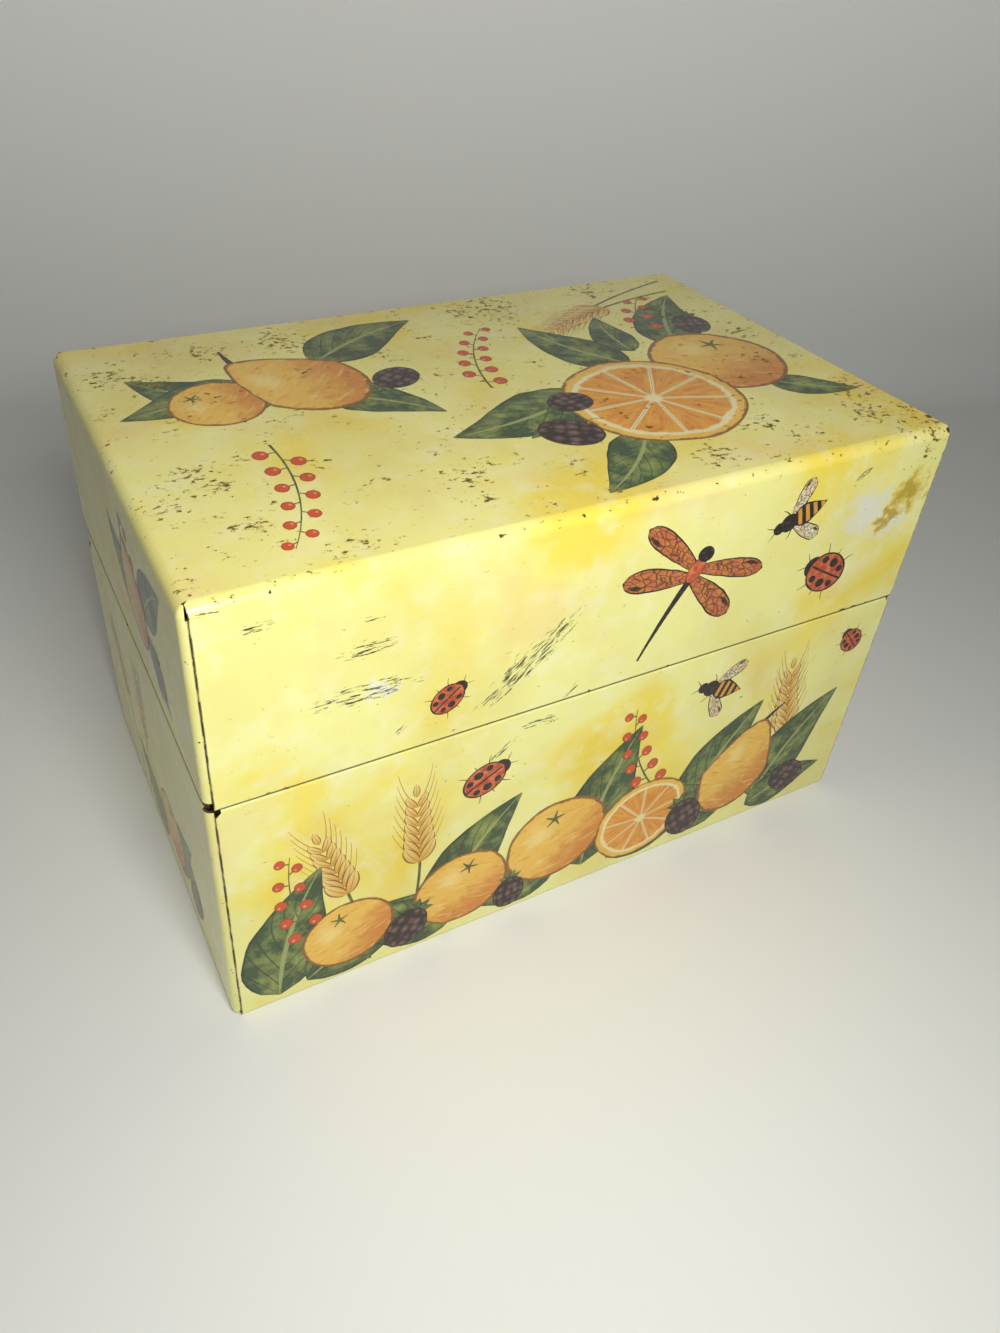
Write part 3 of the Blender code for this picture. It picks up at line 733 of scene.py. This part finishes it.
# the collar's outer skin, darkened for grime and as painted shade for the narrow gaps under the lid's sides
shadedGrimyTin = tinMaterial("shadedGrimyTinplate", tinplate, tinplate["shadedGrimy"], 0.5, 0.7)
cutEdge = tinMaterial("shearedSteelEdge", tinplate, tinplate["cutEdge"], 0.5, 0.66)
drawnWire = tinMaterial("drawnSteelWire", tinplate, tinplate["wire"], 0.36, 0.74)
print("metals made")


sheetWork = {
    "weld": 0.002,            # mm, within which points of the CAD mesh are one
    "flat": 0.05,             # degrees, under which two of its faces are one
    "corner": 50,             # degrees, over which a skin ends
    "sharp": 40,              # degrees, over which an edge isn't shaded smooth
    "widestEdge": 130,        # mm2, more than any sheared edge has
}


def finishPiece(mesh, name, body, node=None):
    mesh.shade_smooth()
    mesh.set_sharp_from_angle(angle=radians(sheetWork["sharp"]))
    piece = bpy.data.objects.new(name, mesh)
    bpy.context.collection.objects.link(piece)
    normals = piece.modifiers.new("flatPanels", "WEIGHTED_NORMAL")
    normals.keep_sharp = True
    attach(piece, body)
    if node:
        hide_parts(node)


# A sheet's faces as skins, each one bounded by sharp corners
def findSkins(sheet, corner):
    skins, unseen = [], set(sheet.faces)
    while unseen:
        start = unseen.pop()
        skin, border = {start}, [start]
        while border:
            for edge in border.pop().edges:
                if len(edge.link_faces) == 2 and edge.calc_face_angle(pi) < corner:
                    for other in unseen.intersection(edge.link_faces):
                        unseen.discard(other)
                        skin.add(other)
                        border.append(other)
        skins.append(skin)
    return skins


# A merged, smooth copy of a sheet-metal node in three finishes: the printed outer skin, the bare
# inner skin, and the sheared edges between them
def dressSheet(node, name, body, outside):
    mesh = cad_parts[node].data.copy()
    mesh.name = name
    sheet = bmesh.new()
    sheet.from_mesh(mesh)
    bmesh.ops.remove_doubles(sheet, verts=sheet.verts, dist=sheetWork["weld"] * mm)
    bmesh.ops.dissolve_limit(sheet, angle_limit=radians(sheetWork["flat"]),
                             verts=sheet.verts, edges=sheet.edges)
    skins = findSkins(sheet, radians(sheetWork["corner"]))
    areas = [sum(face.calc_area() for face in skin) / mm ** 2 for skin in skins]
    for skin, area in zip(skins, areas):
        finish = 0 if area == max(areas) else 1 if area > sheetWork["widestEdge"] else 2
        for face in skin:
            face.material_index = finish
    mesh.materials.clear()
    for material in (outside, bareTin, cutEdge):
        mesh.materials.append(material)
    sheet.to_mesh(mesh)
    sheet.free()
    finishPiece(mesh, name, body, node)


dressSheet("body_shell", "body_tin", "box", yellowPrint)
dressSheet("lid_shell", "lid_tin", "lid", yellowPrint)
# the collar, in the darkened tin of grime and painted shade
dressSheet("inner_collar", "collar_tin", "box", shadedGrimyTin)


def dressWire():
    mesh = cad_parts["hinge_wire"].data.copy()
    mesh.name = "hinge_rod"
    wire = bmesh.new()
    wire.from_mesh(mesh)
    bmesh.ops.remove_doubles(wire, verts=wire.verts, dist=sheetWork["weld"] * mm)
    wire.to_mesh(mesh)
    wire.free()
    mesh.materials.clear()
    mesh.materials.append(drawnWire)
    finishPiece(mesh, "hinge_rod", "box", "hinge_wire")


dressWire()
print("sheets dressed")


# The print. A panel's drawing plane is in mm, x to the right and y up as one faces the panel.
panels = {
    "top": Matrix(((1, 0, 0, 0), (0, 1, 0, 0), (0, 0, 1, height), (0, 0, 0, 1))),
    "front": Matrix(((1, 0, 0, 0), (0, 0, -1, -halfDepth), (0, 1, 0, 0), (0, 0, 0, 1))),
    "back": Matrix(((-1, 0, 0, 0), (0, 0, 1, halfDepth), (0, 1, 0, 0), (0, 0, 0, 1))),
    "left": Matrix(((0, 0, -1, -halfWidth), (-1, 0, 0, 0), (0, 1, 0, 0), (0, 0, 0, 1))),
    "right": Matrix(((0, 0, 1, halfWidth), (1, 0, 0, 0), (0, 1, 0, 0), (0, 0, 0, 1))),
}
inkFilm = 0.005               # mm between one layer of ink and the next
grainLean = 0.8               # rise of a grain from foot to tip, as a share of the film
waver = 0.035                 # unsteadiness of the hand, as a share of a mark's width


def newPrint(panel):
    mesh = bmesh.new()
    return {"mesh": mesh, "map": mesh.loops.layers.uv.new("brush"), "panel": panels[panel],
            "layers": {}, "motif": 0}


# Lays one mark of ink on the panel, over all that it touches: its points are given with their
# place on the mark's own map. Marks that lean, such as the grains of an ear, share one layer, in
# which each rises from its foot to its tip and so lies over the feet of the next, like shingles.
def layInk(sheet, place, points, tone, lean=0):
    spots = {vert: place @ Vector((*spot, 0)) for vert, (spot, _) in points.items()}
    faces = {face for vert in points for face in vert.link_faces}
    squares = set()
    for face in faces:
        columns = [floor(spots[vert].x) for vert in face.verts]
        rows = [floor(spots[vert].y) for vert in face.verts]
        squares |= {(column, row) for column in range(min(columns), max(columns) + 1)
                    for row in range(min(rows), max(rows) + 1)}
    under = [sheet["layers"].get(square, (0, None)) for square in squares]
    layer = max(level + (0 if lean and motif == sheet["motif"] else 1) for level, motif in under)
    for square in squares:
        sheet["layers"][square] = (layer, sheet["motif"])
    for vert, spot in spots.items():
        rise = layer + lean * (0.1 + points[vert][1][0])
        vert.co = sheet["panel"] @ Vector((spot.x, spot.y, rise * inkFilm)) * mm
    for face in faces:
        face.material_index = inkNames.index(tone)
        for corner in face.loops:
            corner[sheet["map"]].uv = points[corner.vert][1]


# A stroke along a curve of three points, as wide as the profile says at each share of its length
def brushStroke(sheet, place, path, width, profile, tone, steps=14, lanes=4, lean=0):
    start, bend, end = (Vector(spot) for spot in path)
    grid = bmesh.ops.create_grid(sheet["mesh"], x_segments=steps, y_segments=lanes, size=0.5)["verts"]
    points = {}
    for vert in grid:
        along, across = vert.co.x + 0.5, vert.co.y + 0.5
        here = start.lerp(bend, along).lerp(bend.lerp(end, along), along)
        ahead = (bend - start).lerp(end - bend, along).normalized()
        unsteady = 1 + waver * 2 * noise.noise(Vector((start.x + 7 * along, end.y + across, width)))
        out = (across - 0.5) * width * profile(along) * unsteady
        points[vert] = ((here.x - ahead.y * out, here.y + ahead.x * out), (along, across))
    layInk(sheet, place, points, tone, lean)


# A round mark, whose grid is rounded to a disc and then shaped, such as to a pear
def brushBlob(sheet, place, middle, radii, tone, shape=None, lanes=10):
    grid = bmesh.ops.create_grid(sheet["mesh"], x_segments=lanes, y_segments=lanes, size=1)["verts"]
    points = {}
    for vert in grid:
        x = vert.co.x * sqrt(1 - vert.co.y ** 2 / 2)
        y = vert.co.y * sqrt(1 - vert.co.x ** 2 / 2)
        unsteady = 1 + waver * noise.noise(Vector((2 * x + middle[0], 2 * y + middle[1], radii[0])))
        drawn = shape(x, y) if shape else (x, y)
        spot = [middle[i] + drawn[i] * radii[i] * unsteady for i in (0, 1)]
        points[vert] = (spot, ((x + 1) / 2, (y + 1) / 2))
    layInk(sheet, place, points, tone)


def even(along):
    return 1


def leafOutline(along):
    return 1.25 * sin(pi * along ** 0.72) ** 0.9 * (1 - 0.25 * along) + 0.02


def taper(along):
    return 1 - 0.7 * along


def wingOutline(along):
    swell = 0.25 + 0.75 * sin(pi * (0.08 + 0.6 * along))
    tip = max(0, (along - 0.72) / 0.28)
    return swell * sqrt(1 - tip ** 2) + 0.02


def grainOutline(along):
    return sin(pi * along ** 0.85) ** 0.7 + 0.04


def pearShape(x, y):
    return x * (1 - 0.42 * max(0, y + 0.1) ** 0.8), y * 1.28 + 0.12


def standAt(x, y, turn=0, size=1):
    return Matrix.Translation((x, y, 0)) @ Matrix.Rotation(radians(turn), 4, "Z") @ Matrix.Scale(size, 4)


# Motifs, each drawn round its own foot or middle, in mm at size 1
def leaf(sheet, x, y, turn, length, bend=0.12):
    path = ((0, 0), (length * 0.5, length * bend), (length, 0))
    brushStroke(sheet, standAt(x, y, turn), path, length * 0.42, leafOutline, "leafInk", steps=18, lanes=6)


def fruit(sheet, x, y, radius, turn=0):
    place = standAt(x, y, turn)
    brushBlob(sheet, place, (0, 0), (radius, radius * 0.96), "fruitInk")
    for spoke in range(5):
        star = place @ standAt(0, radius * 0.55, 72 * spoke)
        path = ((0, 0), (radius * 0.08, 0.1), (radius * 0.2, 0))
        brushStroke(sheet, star, path, radius * 0.07, taper, "stemInk", 4, 1)


def citrusHalf(sheet, x, y, radius, squash=1, turn=0):
    brushBlob(sheet, standAt(x, y, turn), (0, 0), (radius, radius * squash), "sliceInk", lanes=14)


def pear(sheet, x, y, radius, turn=0):
    place = standAt(x, y, turn)
    path = ((0, radius * 1.25), (radius * 0.1, radius * 1.5), (radius * 0.35, radius * 1.8))
    brushStroke(sheet, place, path, radius * 0.14, taper, "blackInk", 6, 1)
    brushBlob(sheet, place, (0, 0), (radius, radius), "fruitInk", pearShape)


def bramble(sheet, x, y, radius, turn=0):
    place = standAt(x, y, turn)
    for spoke in (-62, -22, 22, 62):
        star = place @ standAt(0, radius * 0.9, 90 + spoke)
        path = ((0, 0), (radius * 0.3, 0.1), (radius * 0.7, 0))
        brushStroke(sheet, star, path, radius * 0.3, leafOutline, "leafInk", 8, 2)
    brushBlob(sheet, place, (0, 0), (radius * 0.86, radius * 1.05), "brambleInk")


# Berries that hang from a bent stalk, larger towards its foot
def currants(sheet, x, y, turn, length, count=9):
    place = standAt(x, y, turn)
    path = ((0, 0), (length * 0.5, length * 0.16), (length, 0))
    brushStroke(sheet, place, path, 0.45, taper, "stemInk", 12, 1)
    for number in range(count):
        along = (number + 1) / (count + 0.6)
        foot = Vector((length * along, length * 0.32 * along * (1 - along)))
        side = 1 if number % 2 else -1
        spot = foot + Vector((0.8, side * (2.6 - 1.2 * along)))
        brushStroke(sheet, place, (foot, foot.lerp(spot, 0.5), spot), 0.28, even, "stemInk", 3, 1)
        brushBlob(sheet, place, spot, (1.5 - 0.5 * along, 1.35 - 0.45 * along), "berryInk", lanes=6)


def wheat(sheet, x, y, turn, length, bend=0.14, ear=0.42):
    place = standAt(x, y, turn)
    foot, tip = Vector((0, 0)), Vector((length, length * bend))
    neck = foot.lerp(tip, 1 - ear) + Vector((0, -length * bend * 0.3))
    waist = foot.lerp(neck, 0.6) + Vector((0, -length * bend * 0.2))
    brushStroke(sheet, place, (foot, waist, neck), 0.55, even, "stemInk", 12, 1)
    ahead = (tip - neck).normalized()
    aside = Vector((-ahead.y, ahead.x))
    rows = round((tip - neck).length / 2.3)
    for number in reversed(range(rows)):
        root = neck.lerp(tip, number / rows)
        swell = 1.15 - 0.5 * number / rows
        for side in (-1, 1):
            end = root + ahead * (7.5 + 2 * swell) + aside * side * 4.2 * swell
            middle = root.lerp(end, 0.5) + aside * side
            brushStroke(sheet, place, (root, middle, end), 0.24, taper, "outlineInk", 6, 1, grainLean)
            end = root + ahead * 4.3 * swell + aside * side * 2.4 * swell
            middle = root.lerp(end, 0.5) + aside * side * 0.7
            brushStroke(sheet, place, (root, middle, end), 2.1 * swell, grainOutline, "wheatInk",
                        8, 2, grainLean)
    path = (tip, tip + ahead * 1.6, tip + ahead * 3.2)
    brushStroke(sheet, place, path, 1.3, grainOutline, "wheatInk", 6, 2, grainLean)


# Six short legs and two feelers, for the ladybird and the bee
def legs(sheet, place, spread, reach):
    for side in (-1, 1):
        for step in (-1, 0, 1):
            foot = (step * spread, side * reach * 0.35)
            toe = (step * spread * 1.7 + 0.3 * step, side * reach)
            knee = (step * spread * 1.2, side * reach * 0.8)
            brushStroke(sheet, place, (foot, knee, toe), 0.3, taper, "blackInk", 5, 1)


def feelers(sheet, place, root, reach):
    for side in (-1, 1):
        path = ((root, 0), (root + reach * 0.4, side * reach * 0.2), (root + reach, side * reach * 0.7))
        brushStroke(sheet, place, path, 0.28, taper, "blackInk", 8, 1)


def ladybird(sheet, x, y, turn, size=1):
    place = standAt(x, y, turn, size)
    legs(sheet, place, 2.0, 4.6)
    feelers(sheet, place, 4.4, 2.4)
    brushBlob(sheet, place, (3.9, 0), (1.7, 1.9), "blackInk", lanes=6)
    brushBlob(sheet, place, (0, 0), (4.6, 3.7), "shellInk")
    brushStroke(sheet, place, ((-4.5, 0), (0, 0.1), (3.9, 0)), 0.38, even, "blackInk", 8, 1)
    for side in (1, -1):
        for spotX, spotY, radius in ((2.0, 1.9, 0.75), (-0.4, 2.0, 0.95), (-2.6, 1.5, 0.7)):
            brushBlob(sheet, place, (spotX, side * spotY), (radius, radius * 0.9), "blackInk", lanes=5)


def bee(sheet, x, y, turn, size=1):
    place = standAt(x, y, turn, size)
    legs(sheet, place, 1.5, 3.2)
    feelers(sheet, place, 4.2, 2.2)
    for side in (-1, 1):
        path = ((0.8, side * 0.8), (-1.5, side * 4.2), (-4.0, side * 6.4))
        brushStroke(sheet, place, path, 3.0, wingOutline, "paleWingInk", 12, 4)
    brushStroke(sheet, place, ((1.2, 0), (-2.4, 0.2), (-6.2, 0)), 3.9, leafOutline, "stripeInk", 14, 4)
    brushBlob(sheet, place, (1.9, 0), (1.9, 1.8), "blackInk", lanes=6)
    brushBlob(sheet, place, (4.0, 0), (1.2, 1.2), "blackInk", lanes=6)


def dragonfly(sheet, x, y, turn, size=1):
    place = standAt(x, y, turn, size)
    for side in (-1, 1):
        path = ((1.8, side * 0.6), (4.0, side * 7.5), (5.4, side * 15.0))
        brushStroke(sheet, place, path, 3.9, wingOutline, "wingInk", 18, 6)
        path = ((-0.2, side * 0.6), (-2.0, side * 7.0), (-4.4, side * 13.6))
        brushStroke(sheet, place, path, 4.6, wingOutline, "wingInk", 18, 6)
    brushStroke(sheet, place, ((-0.5, 0), (-8, 0.6), (-17.0, 0)), 1.5, taper, "blackInk", 16, 2)
    brushBlob(sheet, place, (1.4, 0), (2.6, 1.6), "shellInk", lanes=8)
    brushBlob(sheet, place, (4.6, 0), (1.5, 1.7), "blackInk", lanes=6)


def printPanel(panel, name, body, drawing):
    sheet = newPrint(panel)
    for motif, *places in drawing:
        for place in places:
            sheet["motif"] += 1
            motif(sheet, *place)
    mesh = bpy.data.meshes.new(name)
    sheet["mesh"].to_mesh(mesh)
    sheet["mesh"].free()
    for tone in inkNames:
        mesh.materials.append(inks[tone])
    finishPiece(mesh, name, body)


# Each drawing, from the marks at the back to those in front
printPanel("top", "lid_top_print", "lid", [
    (wheat, (62, 37, 197, 42), (60, 31, 188, 34)),
    (leaf, (14, -7, 194, 31), (43, 4, 58, 29), (49, -15, -32, 17, -0.12), (15, -24, 221, 23),
     (29, 0, 116, 26), (-38, 8, 142, 27), (-42, 19, 203, 23), (-26, 21, 28, 28), (-30, 8, -38, 22)),
    (currants, (-1, 0, 66, 28, 11), (-44, -6, 258, 30, 11), (42, 12, 62, 20, 7)),
    (fruit, (46, -4, 13.5, -30), (-47, 11, 8.5, 50)),
    (pear, (-31, 14, 11, 40)),
    (citrusHalf, (24, -14, 17, 0.94, 20)),
    (bramble, (3, -20, 5.4, 60), (-15, 10, 4.6, 120), (53, 13, 4.6, -20), (9, -10, 4.2, 100)),
    (leaf, (33, 5, 82, 18)),
])
printPanel("front", "lid_front_print", "lid", [
    (dragonfly, (14, 71.5, 62, 1.0)),
    (ladybird, (46, 64, 150, 1.1)),
    (bee, (35, 78, 200, 1.0)),
    (ladybird, (-30, 61, 40, 0.7)),
])
printPanel("front", "body_front_print", "box", [
    (wheat, (-36, 3, 80, 38), (-43, 3, 98, 36, 0.1), (47, 3, 84, 38), (53, 3, 97, 35, 0.08)),
    (leaf, (-60, 3, 74, 31), (-55, 4, 24, 28), (-30, 8, 58, 30), (-26, 6, 152, 26), (-4, 8, 165, 26),
     (2, 6, 76, 35), (8, 5, 20, 28), (26, 9, 62, 30), (36, 6, 142, 26), (45, 6, 58, 30), (44, 4, 16, 20)),
    (currants, (17, 21, 110, 25, 10), (-52, 12, 100, 26, 10)),
    (fruit, (-5, 17, 11, 10), (-25, 13.5, 9.6, -14), (-47, 13, 8.6, 20)),
    (pear, (38, 17, 9.6, -18)),
    (citrusHalf, (15, 13.5, 10.8, 0.95, 12)),
    (bramble, (26.5, 8.5, 5.2, 20), (-36, 8, 4.8, -30), (54, 9, 4.8, 60), (-14.5, 6.5, 4, 0)),
    (ladybird, (-22, 40, 30, 0.95), (60, 44, 130, 0.7)),
    (bee, (27, 43, 160, 1.0)),
])
printPanel("left", "lid_left_print", "lid", [
    (leaf, (14, 66, 150, 22), (16, 70, 40, 20), (16, 66, -40, 14)),
    (currants, (14, 70, 112, 14, 6)),
    (pear, (10, 69, 7.2, 24)),
    (bramble, (22, 62, 3.8, 0)),
])
printPanel("left", "body_left_print", "box", [
    (wheat, (-14, 4, 70, 37), (-18, 4, 100, 34, 0.08)),
    (leaf, (2, 6, 150, 22), (8, 6, 48, 24), (26, 8, 120, 16)),
    (fruit, (8, 14, 8, 0)),
    (bramble, (22, 9, 4.2, -20)),
])
printPanel("right", "lid_right_print", "lid", [
    (leaf, (-8, 70, 200, 22), (-4, 72, 30, 20)),
    (citrusHalf, (-8, 70, 8.5, 0.95)),
    (bramble, (4, 65, 4, 30)),
    (bee, (22, 72, 200, 0.9)),
])
printPanel("right", "body_right_print", "box", [
    (wheat, (18, 4, 66, 37), (12, 4, 96, 36), (4, 4, 118, 34, 0.06)),
    (leaf, (-16, 6, 38, 24), (-20, 6, 140, 20)),
    (pear, (-16, 16, 8, 14)),
    (currants, (-30, 8, 84, 20, 8)),
])
printPanel("back", "lid_back_print", "lid", [
    (leaf, (-30, 70, 160, 22), (-24, 72, 20, 22)),
    (fruit, (-28, 71, 8, 0)),
    (ladybird, (34, 72, 20, 0.9)),
])
printPanel("back", "body_back_print", "box", [
    (wheat, (-30, 4, 62, 38), (-36, 4, 88, 36), (-40, 4, 106, 36, 0.06), (40, 4, 100, 34)),
    (leaf, (0, 6, 30, 24), (-6, 6, 150, 24), (44, 6, 40, 20), (24, 6, 140, 20)),
    (citrusHalf, (-2, 14, 8.5, 0.95)),
    (pear, (26, 16, 8, -12)),
    (bramble, (12, 9, 4.4, 20)),
    (currants, (8, 18, 80, 20, 8)),
])
print("print laid")
